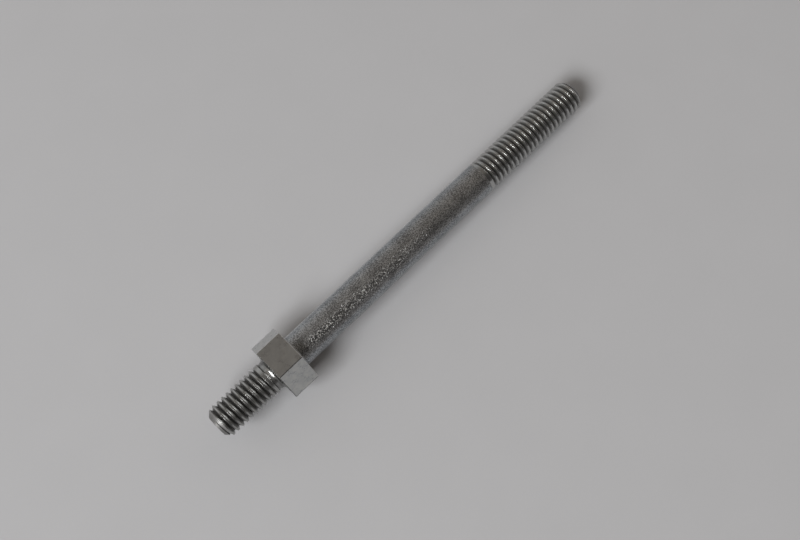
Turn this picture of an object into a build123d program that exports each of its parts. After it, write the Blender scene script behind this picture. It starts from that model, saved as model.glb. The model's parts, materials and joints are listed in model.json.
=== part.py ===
from build123d import *
import os
from math import atan, ceil, cos, degrees, radians, sin, tan

# A hex-collar stud bolt, turned from one bar: a short threaded stud with a smooth neck,
# a hexagonal collar, and a long plain shank that ends in a second thread. Both threads
# are right-handed. It lies on a flat of its collar and on the crest at its far tip.
# All sizes are in millimetres.

# ---- Threads: coarse metric M6, both ends alike ----
THREAD_MAJOR = 5.95       # crest diameter, a little under the nominal 6
THREAD_PITCH = 1.0
THREAD_DEPTH = 0.65       # crest to a sharp root, on the radius
FLANK_ANGLE = 60.0        # between the two sides of the groove, degrees
RUN_OUT = 1.16            # length over which a groove fades out
TIP_CHAMFER = 1.0         # 45 degree chamfer on both tips
GROOVE_ANGLE = 90.0       # where round the axis a groove begins to fade, degrees
CREST_SECTORS = 4         # faces round one turn of a crest

# ---- Short stud ----
STUD_LENGTH = 12.5        # tip to collar
NECK_LENGTH = 1.2         # plain length beside the collar
NECK_DIAMETER = 5.6
NECK_SHOULDER = 0.175     # length of the cone from the crests to the neck
NECK_FLARE = 0.8          # height and width of the curve from the neck into the collar

# ---- Collar: a 10 mm hexagon, which bright drawn bar leaves a little under size ----
COLLAR_ACROSS_FLATS = 9.9
COLLAR_THICKNESS = 5.0
COLLAR_CORNER_RADIUS = 0.15
COLLAR_EDGE_BREAK = 0.1

# ---- Long end ----
SHANK_DIAMETER = 6.0
SHANK_CHAMFER = 0.3       # in the corner at the collar
SHANK_LENGTH = 44.0       # collar to thread
SHANK_TAPER = 0.6         # length over which the shank eases down to the crests
LONG_THREAD_LENGTH = 23.5

# ---- Worked out: radii, and stations along the axis from the collar's stud side ----
CREST_RADIUS = THREAD_MAJOR / 2
ROOT_RADIUS = CREST_RADIUS - THREAD_DEPTH
TIP_RADIUS = CREST_RADIUS - TIP_CHAMFER
NECK_RADIUS = NECK_DIAMETER / 2
SHANK_RADIUS = SHANK_DIAMETER / 2
STUD_TIP = -STUD_LENGTH
NECK_START = -NECK_LENGTH
THREAD_START = COLLAR_THICKNESS + SHANK_LENGTH
LONG_TIP = THREAD_START + LONG_THREAD_LENGTH

# ---- Room round the thread cutters, so that no face of one lies on the bar ----
TOOL_CLEARANCE = 0.1      # how far a cutter stands proud of the crests
LIFT_CLEARANCE = 0.02     # how far its point ends up proud of them


def turned_blank():
    """The bar as the lathe leaves it, before its threads and without its collar."""
    with BuildPart() as blank:
        with BuildSketch(Plane.XZ):
            with BuildLine():
                Polyline(
                    (0, STUD_TIP),
                    (TIP_RADIUS, STUD_TIP),
                    (CREST_RADIUS, STUD_TIP + TIP_CHAMFER),
                    (CREST_RADIUS, NECK_START),
                    (NECK_RADIUS, NECK_START + NECK_SHOULDER),
                    (NECK_RADIUS, -NECK_FLARE),
                )
                Bezier((NECK_RADIUS, -NECK_FLARE), (NECK_RADIUS, 0), (NECK_RADIUS + NECK_FLARE, 0))
                Polyline(
                    (NECK_RADIUS + NECK_FLARE, 0),
                    (SHANK_RADIUS + SHANK_CHAMFER, COLLAR_THICKNESS),
                    (SHANK_RADIUS, COLLAR_THICKNESS + SHANK_CHAMFER),
                    (SHANK_RADIUS, THREAD_START - SHANK_TAPER),
                    (CREST_RADIUS, THREAD_START),
                    (CREST_RADIUS, LONG_TIP - TIP_CHAMFER),
                    (TIP_RADIUS, LONG_TIP),
                    (0, LONG_TIP),
                    (0, STUD_TIP),
                )
            make_face()
        revolve(axis=Axis.Z)
    return blank.solid()


def hex_collar():
    """The collar, with two of its flats square to the X axis."""
    with BuildPart() as collar:
        with BuildSketch():
            RegularPolygon(COLLAR_ACROSS_FLATS / 2, 6, major_radius=False, rotation=30)
        extrude(amount=COLLAR_THICKNESS)
        fillet(collar.edges().filter_by(Axis.Z), COLLAR_CORNER_RADIUS)
        ends = collar.faces().filter_by(Plane.XY)
        chamfer(ends.edges(), COLLAR_EDGE_BREAK)
    return collar.solid()


def groove_section():
    """The V of a groove in a plane through the axis, with its point at Z = 0."""
    tool_radius = CREST_RADIUS + TOOL_CLEARANCE
    half_width = (tool_radius - ROOT_RADIUS) * tan(radians(FLANK_ANGLE / 2))
    corners = ((ROOT_RADIUS, 0, 0), (tool_radius, 0, -half_width), (tool_radius, 0, half_width))
    return Face(Wire.make_polygon(corners, close=True))


def groove_cutters(thread_length):
    """What cuts one thread, turn by turn, with the tip at Z = 0 and the last groove at thread_length."""
    full_depth = thread_length - RUN_OUT
    path = Helix(THREAD_PITCH, THREAD_PITCH, ROOT_RADIUS)
    turn = Solid.sweep(groove_section(), path=path, is_frenet=True)
    turns = ceil(full_depth / THREAD_PITCH) + 1
    cutters = [turn.moved(Location((0, 0, full_depth - k * THREAD_PITCH))) for k in range(1, turns + 1)]

    rise = atan((THREAD_DEPTH + LIFT_CLEARANCE) / RUN_OUT)
    lifting_path = Helix(THREAD_PITCH / cos(rise), RUN_OUT, ROOT_RADIUS, cone_angle=degrees(rise))
    fading = Solid.sweep(groove_section(), path=lifting_path, is_frenet=True)
    return cutters + [fading.moved(Location((0, 0, full_depth)))]


def threaded_bolt():
    """The whole bolt on the Z axis, with the collar's stud side at Z = 0."""
    stud_end = Location((0, 0, STUD_TIP), (0, 0, GROOVE_ANGLE))
    long_end = Location((0, 0, LONG_TIP), (180, 0, GROOVE_ANGLE))
    cutters = [cutter.moved(stud_end) for cutter in groove_cutters(STUD_LENGTH - NECK_LENGTH)]
    cutters += [cutter.moved(long_end) for cutter in groove_cutters(LONG_THREAD_LENGTH)]
    return turned_blank().fuse(hex_collar()).cut(*cutters)


def is_crest(face):
    return face.geom_type == GeomType.CYLINDER and abs(face.radius - CREST_RADIUS) < 0.001


def with_crests_in_sectors(bolt):
    """The same solid, with its winding crest faces parted into sectors round the axis."""
    crests = [face for face in bolt.faces() if is_crest(face)]
    others = [face for face in bolt.faces() if not is_crest(face)]
    for k in range(CREST_SECTORS // 2):
        angle = radians(360 / CREST_SECTORS * k)
        plane = Plane(origin=(0, 0, 0), z_dir=(-sin(angle), cos(angle), 0))
        crests = [piece for face in crests for piece in face.split(plane, keep=Keep.ALL).faces()]
    return Solid(Shell(crests + others))


def laid_down(bolt):
    """The bolt at rest on the ground, its long end towards +X, centred over the origin."""
    shank_side = COLLAR_THICKNESS - COLLAR_EDGE_BREAK
    drop = COLLAR_ACROSS_FLATS / 2 - CREST_RADIUS
    tilt = atan(drop / (LONG_TIP - TIP_CHAMFER - shank_side))
    middle = (STUD_TIP + LONG_TIP) / 2
    height = COLLAR_ACROSS_FLATS / 2 * cos(tilt) + shank_side * sin(tilt)
    return bolt.moved(Location((-middle * cos(tilt), 0, height), (0, 90 + degrees(tilt), 0)))


stud_bolt = laid_down(with_crests_in_sectors(threaded_bolt()))
stud_bolt.label = "stud_bolt"
os.makedirs("parts", exist_ok=True)
export_step(stud_bolt, "parts/stud_bolt.step")
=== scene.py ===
import json
import math
from collections import namedtuple

import bpy
from mathutils import Matrix, Vector

# Looks for a zinc-plated stud bolt that lies on pale paper. Everything is in metres, in the
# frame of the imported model. The bolt's own axes run along it from the collar's stud side (X),
# across it (Y) and up through the collar's top flat (Z).

MM = 0.001
WHITE = (1.0, 1.0, 1.0)

# ---- Places on the bolt, in its own axes ----
NECK_START = -1.2 * MM
COLLAR_END = 5.0 * MM
THREAD_START = 49.0 * MM
COLLAR_INNER = 3.4 * MM       # what lies farther out than this, beside the collar, belongs to it
COLLAR_MARGIN = 0.1 * MM      # how far past its two ends a face may still be the collar's
END_BREAK = 0.2 * MM          # width of the strip that holds the broken edge on the shank side

# ---- How the collar's flats and ends are told from its broken edges ----
HEXAGON_TURN = 60.0           # degrees from one flat to the next
FLAT_TURN = 2.0               # a flat faces within this many degrees of one of six directions
FLAT_SLOPE = 0.05             # and leans along the bolt by less than this
END_SLOPE = 0.98              # an end faces along the bolt by more than this

# ---- Camera: above the short stud, looking down along the bolt ----
CAMERA_PLACE = Vector((-27.35, -46.78, 158.24)) * MM
CAMERA_AIM = Vector((-2.80, -2.30, 5.0)) * MM
CAMERA_ROLL = math.radians(16.24)
CAMERA_LENS = 42.82
SENSOR_WIDTH = 36.0
CLIP_START = 0.005

FLOOR_HALF = 0.9
NOISE_RANGE = (0.3, 0.7)      # where nearly all values of a noise lie

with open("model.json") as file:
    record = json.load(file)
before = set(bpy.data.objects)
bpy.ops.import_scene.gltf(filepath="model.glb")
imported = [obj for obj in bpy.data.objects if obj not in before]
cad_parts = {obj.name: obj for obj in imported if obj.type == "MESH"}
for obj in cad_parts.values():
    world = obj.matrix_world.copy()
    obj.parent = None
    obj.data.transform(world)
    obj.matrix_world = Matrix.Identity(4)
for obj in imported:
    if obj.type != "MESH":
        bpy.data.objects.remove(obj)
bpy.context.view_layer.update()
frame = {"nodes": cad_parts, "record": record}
bolt = frame["nodes"]["stud_bolt"]
mounts = {mount["name"]: mount for mount in frame["record"]["mounts"]}

# ---- The bolt's own axes, from the mounts of the record ----
along = Vector(mounts["long_thread"]["axis"]).normalized()
across = Vector((0.0, 1.0, 0.0))
upward = along.cross(across)
stud_face = Vector(mounts["collar_stud_face"]["pos_m"])
axis_point = Vector(mounts["long_thread"]["pos_m"])
axis_origin = axis_point + (stud_face - axis_point).dot(along) * along
to_bolt_axes = Matrix((along, across, upward))

# What a metal's build function gives: sockets for its colour, roughness and height, and the
# depth and strength of the bump that the height makes.
Surface = namedtuple("Surface", "color roughness height bump_depth bump_strength")


class Nodes:
    """Builds a node tree with short calls."""

    def __init__(self, tree):
        self.tree = tree
        tree.nodes.clear()

    def add(self, kind, inputs=None, **settings):
        node = self.tree.nodes.new(kind)
        for name, value in settings.items():
            setattr(node, name, value)
        for name, value in (inputs or {}).items():
            self.feed(node.inputs[name], value)
        return node

    def feed(self, socket, value):
        if isinstance(value, bpy.types.NodeSocket):
            self.tree.links.new(value, socket)
        else:
            socket.default_value = value

    def math(self, operation, a, b=0.0, clamp=False):
        node = self.add("ShaderNodeMath", operation=operation, use_clamp=clamp)
        self.feed(node.inputs[0], a)
        self.feed(node.inputs[1], b)
        return node.outputs["Value"]

    def split(self, vector):
        """The parts X, Y and Z of a vector."""
        return self.add("ShaderNodeSeparateXYZ", {"Vector": vector}).outputs

    def spread(self, value, low, high, out_low=0.0, out_high=1.0):
        """Value's range low to high, laid over out_low to out_high and held at the ends."""
        node = self.add(
            "ShaderNodeMapRange",
            {"Value": value, "From Min": low, "From Max": high, "To Min": out_low, "To Max": out_high},
        )
        return node.outputs["Result"]

    def vary(self, noise, low, high):
        """Low to high, as a noise goes through its usual range."""
        return self.spread(noise, *NOISE_RANGE, low, high)

    def weigh(self, first, weight, second):
        """The sum of two values, where the second has what the first one's weight leaves."""
        heavy = self.math("MULTIPLY", first, weight)
        light = self.math("MULTIPLY", second, 1.0 - weight)
        return self.math("ADD", heavy, light)

    def distance(self, value, centre):
        """How far a value lies from a centre, to either side."""
        return self.math("ABSOLUTE", self.math("SUBTRACT", value, centre))

    def blend_colors(self, factor, low, high):
        """Two colours mixed. Each is a socket or three numbers."""
        node = self.add("ShaderNodeMix", data_type="RGBA")
        self.feed(node.inputs["Factor"], factor)
        for socket, value in ((node.inputs[6], low), (node.inputs[7], high)):
            if isinstance(value, bpy.types.NodeSocket):
                self.feed(socket, value)
            else:
                socket.default_value = (*value, 1.0)
        return node.outputs[2]

    def noise(self, vector, size, detail=2.0, roughness=0.5, stretch=None):
        """Noise whose features are about size metres across."""
        if stretch:
            mapping = self.add("ShaderNodeMapping", {"Vector": vector, "Scale": stretch})
            vector = mapping.outputs["Vector"]
        node = self.add(
            "ShaderNodeTexNoise",
            {"Vector": vector, "Scale": 1.0 / size, "Detail": detail, "Roughness": roughness},
        )
        return node.outputs["Fac"]

    def bolt_coordinates(self):
        """Coordinates in metres in the bolt's own axes."""
        place = self.add("ShaderNodeTexCoord").outputs["Object"]
        mapping = self.add(
            "ShaderNodeMapping",
            {
                "Vector": place,
                "Location": -(to_bolt_axes @ axis_origin),
                "Rotation": to_bolt_axes.to_euler("XYZ"),
            },
            vector_type="POINT",
        )
        return mapping.outputs["Vector"]

    def radius(self, place):
        """Distance from the bolt's axis."""
        parts = self.split(place)
        y_squared = self.math("POWER", parts["Y"], 2.0)
        z_squared = self.math("POWER", parts["Z"], 2.0)
        return self.math("SQRT", self.math("ADD", y_squared, z_squared))

    def end(self, shader, kind="ShaderNodeOutputMaterial"):
        """The tree's output, which shows the shader."""
        output = self.add(kind)
        self.feed(output.inputs["Surface"], shader)


def metal(name, build, edge_radius, coat=0.0):
    """A metal with softly rounded edges, whose Surface comes from build(nodes, coordinates)."""
    material = bpy.data.materials.new(name)
    material.use_nodes = True
    nodes = Nodes(material.node_tree)
    surface = build(nodes, nodes.bolt_coordinates())
    rounded = nodes.add("ShaderNodeBevel", {"Radius": edge_radius}, samples=16)
    bump = nodes.add(
        "ShaderNodeBump",
        {
            "Height": surface.height,
            "Distance": surface.bump_depth,
            "Strength": surface.bump_strength,
            "Normal": rounded.outputs["Normal"],
        },
    )
    shader = nodes.add(
        "ShaderNodeBsdfPrincipled",
        {
            "Base Color": surface.color,
            "Metallic": 1.0,
            "Roughness": surface.roughness,
            "Normal": bump.outputs["Normal"],
            "Coat Weight": coat,
            "Coat Roughness": 0.45,
        },
    )
    nodes.end(shader.outputs["BSDF"])
    return material


# ---- Shank: grains of zinc, with painted reflection of the floor: bluer and paler on both sides, palest along the +Y edge ----
GRAIN_SIZE = 0.20 * MM
SHANK_CLOUD_SIZE = 2.5 * MM
GRAIN_WEIGHT = 0.8
GRAIN_RANGE = (0.42, 0.60)
ZINC_TOP = ((0.09, 0.087, 0.084), (0.41, 0.405, 0.40))
# painted reflection: the side and edge colours are paler than the top, as where the floor is mirrored
ZINC_SIDE_PAINTED_REFLECTION = ((0.11, 0.12, 0.13), (0.45, 0.47, 0.49))
ZINC_EDGE_PAINTED_REFLECTION = ((0.30, 0.31, 0.32), (0.80, 0.81, 0.82))
# where the painted reflection lies across the bolt
LEFT_REFLECTION_BAND = (1.1 * MM, 2.0 * MM)
RIGHT_REFLECTION_BAND = (-2.4 * MM, -2.75 * MM)
LEFT_EDGE_REFLECTION_BAND = (2.2 * MM, 2.7 * MM)
SHANK_ROUGHNESS = (0.40, 0.30)

# ---- Painted glints: bright flecks for the window's highlight, with dark flecks, on a line beside the top, from the collar onwards ----
GLINT_LINE = -1.25 * MM
GLINT_LINE_WIDTH = (0.9 * MM, 0.3 * MM)
GLINT_LINE_BEGIN = (6.0 * MM, 8.0 * MM)
GLINT_LINE_END = (36.0 * MM, 12.0 * MM)
FLECK_SIZE = 0.26 * MM
GLINT_FLECKS = (0.57, 0.62)
DARK_FLECKS = (0.47, 0.43)
# painted highlight: the colour of the bright flecks, glints of the window
PAINTED_GLINT = (0.90, 0.89, 0.86)
DARK_FLECK_COLOR = (0.06, 0.058, 0.055)
GLINT_RIDGE = 3.0             # bump height of a painted glint, where that of a grain is 1


def glints_and_flecks(nodes, place):
    """How strong the painted glints and the dark flecks are at a place."""
    parts = nodes.split(place)
    begun = nodes.spread(parts["X"], *GLINT_LINE_BEGIN)
    not_ended = nodes.spread(parts["X"], *GLINT_LINE_END)
    along_glint_line = nodes.math("MULTIPLY", begun, not_ended)
    beside_top = nodes.spread(nodes.distance(parts["Y"], GLINT_LINE), *GLINT_LINE_WIDTH)
    on_glint_line = nodes.math("MULTIPLY", along_glint_line, beside_top)
    flecks = nodes.noise(place, FLECK_SIZE, detail=1.0)
    glint = nodes.math("MULTIPLY", on_glint_line, nodes.spread(flecks, *GLINT_FLECKS))
    dark = nodes.math("MULTIPLY", on_glint_line, nodes.spread(flecks, *DARK_FLECKS))
    return glint, dark


def shank_plate(nodes, place):
    """Dull zinc over a shot-blasted bar, in fine grains, with painted reflection on both sides, and painted
    glints and dark flecks by the collar.
    """
    grain = nodes.noise(place, GRAIN_SIZE, detail=2.0, roughness=0.6)
    cloud = nodes.noise(place, SHANK_CLOUD_SIZE, detail=3.0)
    speckle = nodes.spread(nodes.weigh(grain, GRAIN_WEIGHT, cloud), *GRAIN_RANGE)
    parts = nodes.split(place)
    left_reflection = nodes.spread(parts["Y"], *LEFT_REFLECTION_BAND)
    right_reflection = nodes.spread(parts["Y"], *RIGHT_REFLECTION_BAND)
    painted_sides = nodes.math("ADD", left_reflection, right_reflection)
    top_color = nodes.blend_colors(speckle, *ZINC_TOP)
    side_reflection_color = nodes.blend_colors(speckle, *ZINC_SIDE_PAINTED_REFLECTION)
    edge_reflection_color = nodes.blend_colors(speckle, *ZINC_EDGE_PAINTED_REFLECTION)
    # painted reflection: paler colours on the sides and along the +Y edge
    color = nodes.blend_colors(painted_sides, top_color, side_reflection_color)
    color = nodes.blend_colors(nodes.spread(parts["Y"], *LEFT_EDGE_REFLECTION_BAND), color, edge_reflection_color)
    glint, dark = glints_and_flecks(nodes, place)
    # painted glints on the line beside the top, then dark flecks
    color = nodes.blend_colors(glint, color, PAINTED_GLINT)
    color = nodes.blend_colors(dark, color, DARK_FLECK_COLOR)
    roughness = nodes.vary(grain, *SHANK_ROUGHNESS)
    height = nodes.math("ADD", grain, nodes.math("MULTIPLY", glint, GLINT_RIDGE))
    return Surface(color, roughness, height, bump_depth=0.10 * MM, bump_strength=0.8)


# ---- Collar: streaks along the bar, clouded more on the side flats than on the top one ----
STREAK_SIZE = 0.12 * MM
STREAK_STRETCH = (0.06, 1.0, 1.0)
COLLAR_CLOUD_SIZE = 0.9 * MM
STREAK_WEIGHT = 0.35
STREAK_RANGE = (0.36, 0.64)
MOTTLE_RANGE = (0.38, 0.62)
TOP_FLAT = ((0.455, 0.45, 0.44), (0.535, 0.525, 0.505))
SIDE_FLAT = ((0.445, 0.455, 0.455), (0.555, 0.555, 0.54))
SIDE_FLATS_BEGIN = (2.80 * MM, 3.00 * MM)
COLLAR_ROUGHNESS = (0.26, 0.32)


def collar_steel(nodes, place):
    """Drawn hexagon bar: smooth flats with faint streaks along the bar, mottled on the side flats."""
    streaks = nodes.noise(place, STREAK_SIZE, detail=2.0, stretch=STREAK_STRETCH)
    cloud = nodes.noise(place, COLLAR_CLOUD_SIZE, detail=5.0, roughness=0.65)
    shade = nodes.weigh(streaks, STREAK_WEIGHT, cloud)
    streaked = nodes.blend_colors(nodes.spread(shade, *STREAK_RANGE), *TOP_FLAT)
    mottled = nodes.blend_colors(nodes.spread(cloud, *MOTTLE_RANGE), *SIDE_FLAT)
    sideways = nodes.math("ABSOLUTE", nodes.split(place)["Y"])
    color = nodes.blend_colors(nodes.spread(sideways, *SIDE_FLATS_BEGIN), streaked, mottled)
    roughness = nodes.vary(cloud, *COLLAR_ROUGHNESS)
    return Surface(color, roughness, streaks, bump_depth=0.01 * MM, bump_strength=0.15)


# ---- Threads: painted shade, dark at the root's radius, bright at the crest's, and worn in flow lines and grit ----
ROOT_TO_CREST = (2.40 * MM, 2.92 * MM)
FLOW_SIZE = 0.25 * MM
FLOW_STRETCH = (1.0, 0.25, 0.25)
FLOW_WEAR = 0.15
GRIT_SIZE = 0.18 * MM
GRIT_RANGE = (0.35, 0.65)
GRIT_WEAR = 0.2
# painted shade: the colour towards the roots
PAINTED_ROOT_SHADE = (0.23, 0.226, 0.22)
ROOT_ROUGHNESS = 0.40


def thread_steel(crest_color, crest_roughness):
    """Rolled threads: bright crests, with painted shade darker towards the roots."""

    def build(nodes, place):
        towards_crest = nodes.spread(nodes.radius(place), *ROOT_TO_CREST)
        flow = nodes.noise(place, FLOW_SIZE, detail=3.0, stretch=FLOW_STRETCH)
        grit = nodes.noise(place, GRIT_SIZE, detail=2.0)
        flow_wear = nodes.vary(flow, -FLOW_WEAR, FLOW_WEAR)
        grit_wear = nodes.spread(grit, *GRIT_RANGE, -GRIT_WEAR, GRIT_WEAR)
        wear = nodes.math("ADD", flow_wear, grit_wear)
        shade = nodes.math("ADD", towards_crest, wear, clamp=True)
        # painted shade: dark at the roots, the crest colour at the crests
        color = nodes.blend_colors(shade, PAINTED_ROOT_SHADE, crest_color)
        roughness = nodes.spread(shade, 0.0, 1.0, ROOT_ROUGHNESS, crest_roughness)
        return Surface(color, roughness, flow, bump_depth=0.005 * MM, bump_strength=0.1)

    return build


# ---- Neck: painted shade on its sides and more on its flare, so that it is bright only on a line beside the top, where the window's highlight falls ----
RING_SIZE = 0.30 * MM
RING_STRETCH = (1.0, 0.05, 0.05)
RING_RANGE = (0.40, 0.60)
RINGS = ((0.25, 0.25, 0.245), (0.62, 0.62, 0.61))
# the line beside the top where the window's highlight falls; painted shade darkens the neck away from it
NECK_HIGHLIGHT_LINE = -0.7 * MM
NECK_SHADE_BEGIN = (0.7 * MM, 1.4 * MM)
NECK_SIDE_SHADE = 0.75
FLARE_BEGINS = (2.95 * MM, 3.15 * MM)
# painted shade of the neck's sides and flare
PAINTED_NECK_SHADE = (0.15, 0.15, 0.145)
NECK_ROUGHNESS = (0.20, 0.26)


def neck_steel(nodes, place):
    """The turned neck, with fine rings from the tool, and painted shade on its sides and where it flares to
    the collar.
    """
    rings = nodes.noise(place, RING_SIZE, detail=2.0, stretch=RING_STRETCH)
    turned = nodes.blend_colors(nodes.spread(rings, *RING_RANGE), *RINGS)
    off_highlight_line = nodes.distance(nodes.split(place)["Y"], NECK_HIGHLIGHT_LINE)
    painted_sides = nodes.spread(off_highlight_line, *NECK_SHADE_BEGIN)
    on_flare = nodes.spread(nodes.radius(place), *FLARE_BEGINS)
    side_shade = nodes.math("MULTIPLY", painted_sides, NECK_SIDE_SHADE)
    neck_shade = nodes.math("MAXIMUM", side_shade, on_flare)
    # painted shade on the sides and the flare
    color = nodes.blend_colors(neck_shade, turned, PAINTED_NECK_SHADE)
    roughness = nodes.vary(rings, *NECK_ROUGHNESS)
    return Surface(color, roughness, rings, bump_depth=0.05 * MM, bump_strength=0.8)


# ---- Broken edges of the collar, darkened as painted shade in place of their reflection ----
EDGE_MOTTLE_SIZE = 0.3 * MM
EDGE_MOTTLE_RANGE = (0.35, 0.65)
# painted shade: the dark colours of the broken edges
PAINTED_EDGE_SHADE = ((0.04, 0.039, 0.037), (0.12, 0.118, 0.114))
EDGE_ROUGHNESS = (0.5, 0.6)


def shaded_edge_steel(nodes, place):
    """Dull, dark metal in the broken edges of the collar, its darkness painted shade in place of their
    reflection.
    """
    edge_mottle = nodes.noise(place, EDGE_MOTTLE_SIZE, detail=3.0)
    color = nodes.blend_colors(nodes.spread(edge_mottle, *EDGE_MOTTLE_RANGE), *PAINTED_EDGE_SHADE)
    roughness = nodes.vary(edge_mottle, *EDGE_ROUGHNESS)
    return Surface(color, roughness, edge_mottle, bump_depth=0.01 * MM, bump_strength=0.3)


short_thread_steel = thread_steel(crest_color=(0.38, 0.38, 0.37), crest_roughness=0.30)
long_thread_steel = thread_steel(crest_color=(0.49, 0.49, 0.48), crest_roughness=0.20)

finishes = {
    "shank": metal("shank_plate", shank_plate, 0.05 * MM, coat=1.0),
    "collar": metal("collar_steel", collar_steel, 0.03 * MM),
    "edge": metal("shaded_edge_steel", shaded_edge_steel, 0.03 * MM),
    "short_thread": metal("short_thread_steel", short_thread_steel, 0.04 * MM),
    "long_thread": metal("long_thread_steel", long_thread_steel, 0.08 * MM),
    "neck": metal("neck_steel", neck_steel, 0.10 * MM),
}


def collar_finish(station, facing):
    """The collar's finish. Its broken edges get painted shade, but for those on the shank and +Y sides."""
    turn = math.degrees(math.atan2(facing.y, facing.z)) % HEXAGON_TURN
    on_flat = min(turn, HEXAGON_TURN - turn) < FLAT_TURN and abs(facing.x) < FLAT_SLOPE
    on_end = abs(facing.x) > END_SLOPE
    on_shank_side = station > COLLAR_END - END_BREAK
    # painted shade: broken edges facing away from +Y and the shank get the dark finish
    return "collar" if on_flat or on_end or on_shank_side or facing.y > 0.0 else "edge"


def finish_of(polygon):
    """The finish of a face, by its station, its distance from the axis and the way it faces."""
    local = to_bolt_axes @ (polygon.center - axis_origin)
    if local.x < NECK_START:
        return "short_thread"
    if local.x > THREAD_START:
        return "long_thread"
    beside_collar = -COLLAR_MARGIN < local.x < COLLAR_END + COLLAR_MARGIN
    if beside_collar and math.hypot(local.y, local.z) > COLLAR_INNER:
        return collar_finish(local.x, to_bolt_axes @ polygon.normal)
    return "neck" if local.x < COLLAR_END / 2 else "shank"


bolt.data.materials.clear()
slot_of = {}
for region, material in finishes.items():
    slot_of[region] = len(bolt.data.materials)
    bolt.data.materials.append(material)
for polygon in bolt.data.polygons:
    polygon.material_index = slot_of[finish_of(polygon)]

# ---- Paper: a fine tooth and faint clouds, within a small share of its colour ----
PAPER_COLOR = (0.402, 0.397, 0.402)
PAPER_VARIATION = 0.015
TOOTH_SIZE = 0.5 * MM
PAPER_CLOUD_SIZE = 12.0 * MM
TOOTH_WEIGHT = 0.4


def paper():
    """Plain pale paper with a soft, fine tooth."""
    material = bpy.data.materials.new("paper")
    material.use_nodes = True
    nodes = Nodes(material.node_tree)
    place = nodes.add("ShaderNodeTexCoord").outputs["Object"]
    tooth = nodes.noise(place, TOOTH_SIZE, detail=4.0)
    cloud = nodes.noise(place, PAPER_CLOUD_SIZE, detail=3.0)
    shade = nodes.vary(nodes.weigh(tooth, TOOTH_WEIGHT, cloud), 0.0, 1.0)
    low = tuple((1.0 - PAPER_VARIATION) * channel for channel in PAPER_COLOR)
    high = tuple((1.0 + PAPER_VARIATION) * channel for channel in PAPER_COLOR)
    color = nodes.blend_colors(shade, low, high)
    bump = nodes.add("ShaderNodeBump", {"Height": tooth, "Distance": 0.02 * MM, "Strength": 0.3})
    shader = nodes.add(
        "ShaderNodeBsdfPrincipled",
        {"Base Color": color, "Roughness": 0.9, "Normal": bump.outputs["Normal"]},
    )
    nodes.end(shader.outputs["BSDF"])
    return material


bpy.ops.mesh.primitive_plane_add(size=2.0 * FLOOR_HALF, location=(0.0, 0.0, 0.0))
floor = bpy.context.object
floor.name = "floor"
floor.data.materials.append(paper())


def area_lamp(name, direction, distance, length, width, power, color=WHITE):
    """A soft box that faces the bolt from a direction, at a distance."""
    lamp = bpy.data.lights.new(name, "AREA")
    lamp.shape = "RECTANGLE"
    lamp.size = length
    lamp.size_y = width
    lamp.energy = power
    lamp.color = color
    holder = bpy.data.objects.new(name, lamp)
    bpy.context.scene.collection.objects.link(holder)
    holder.location = Vector(direction).normalized() * distance
    holder.rotation_euler = (-holder.location).to_track_quat("-Z", "Y").to_euler()


area_lamp(
    "window",
    direction=(-0.72, -0.14, 0.68),
    distance=1.3,
    length=0.78,
    width=0.44,
    power=17.5,
    color=(0.95, 0.975, 1.0),
)
area_lamp("low_window", direction=(-1.0, 0.03, 0.03), distance=1.2, length=0.26, width=0.26, power=1.4)
area_lamp("side_window", direction=(-0.30, 0.80, 0.50), distance=0.8, length=0.9, width=0.9, power=0.8)

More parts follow.
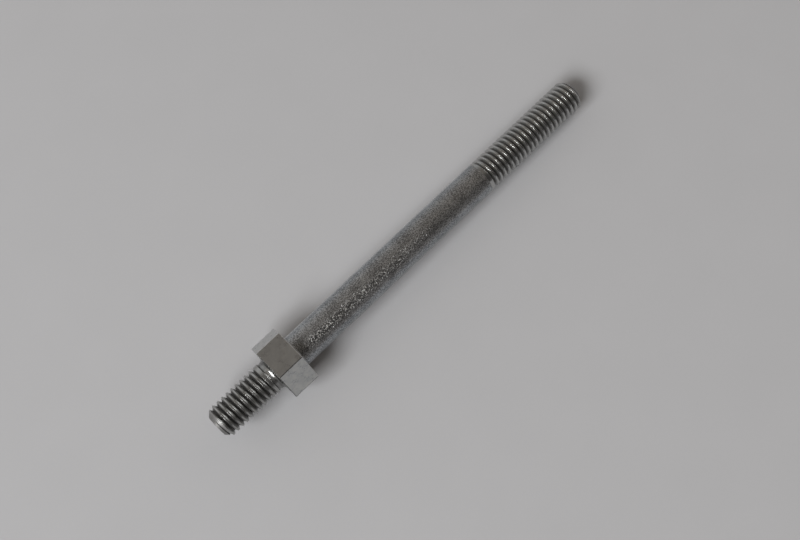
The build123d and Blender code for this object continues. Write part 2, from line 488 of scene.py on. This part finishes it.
# ---- Room: its colours, each with the parts of the direction over which it comes in ----
WALLS = ((0.15, 0.145, 0.14), (0.42, 0.425, 0.43))
WALLS_Y = (-0.6, 0.8)
CEILING = (0.170, 0.157, 0.142)
CEILING_Z = (0.35, 0.85)
TIP_GLOW = (0.92, 0.84, 0.75)
TIP_GLOW_X = (0.45, 0.85)
TIP_GLOW_Z = (0.15, 0.40)
DARK_PATCH = (0.055, 0.052, 0.05)
DARK_PATCH_SIDE = Vector((0.15, -0.80, 0.58)).normalized()
DARK_PATCH_COSINE = (0.65, 0.93)
BACKDROP = (0.38, 0.38, 0.385)
BACKDROP_Z = (0.15, 0.11)


def room():
    """A warm, dim room, paler on the +Y side and beyond both tips.

    It has a dark patch on the -Y side, and a pale backdrop just above the floor's edge and below it.
    """
    world = bpy.data.worlds.new("room")
    world.use_nodes = True
    nodes = Nodes(world.node_tree)
    direction = nodes.add("ShaderNodeTexCoord").outputs["Generated"]
    parts = nodes.split(direction)
    sides = nodes.blend_colors(nodes.spread(parts["Y"], *WALLS_Y), *WALLS)
    tint = nodes.blend_colors(nodes.spread(parts["Z"], *CEILING_Z), sides, CEILING)
    past_tips = nodes.spread(nodes.math("ABSOLUTE", parts["X"]), *TIP_GLOW_X)
    above_floor = nodes.spread(parts["Z"], *TIP_GLOW_Z)
    tint = nodes.blend_colors(nodes.math("MULTIPLY", past_tips, above_floor), tint, TIP_GLOW)
    product = nodes.add("ShaderNodeVectorMath", {0: direction, 1: DARK_PATCH_SIDE}, operation="DOT_PRODUCT")
    in_patch = nodes.spread(product.outputs["Value"], *DARK_PATCH_COSINE)
    tint = nodes.blend_colors(in_patch, tint, DARK_PATCH)
    tint = nodes.blend_colors(nodes.spread(parts["Z"], *BACKDROP_Z), tint, BACKDROP)
    background = nodes.add("ShaderNodeBackground", {"Color": tint, "Strength": 1.0})
    nodes.end(background.outputs["Background"], "ShaderNodeOutputWorld")
    return world


bpy.context.scene.world = room()


def camera():
    """The photo's camera, aimed at the bolt and rolled about its line of sight."""
    data = bpy.data.cameras.new("camera")
    data.lens = CAMERA_LENS
    data.sensor_width = SENSOR_WIDTH
    data.clip_start = CLIP_START
    holder = bpy.data.objects.new("camera", data)
    bpy.context.scene.collection.objects.link(holder)
    holder.location = CAMERA_PLACE
    level = (CAMERA_AIM - CAMERA_PLACE).to_track_quat("-Z", "Y").to_matrix()
    holder.rotation_euler = (level @ Matrix.Rotation(-CAMERA_ROLL, 3, "Z")).to_euler()
    return holder


bpy.context.scene.camera = camera()
bpy.context.scene.view_settings.view_transform = "Standard"
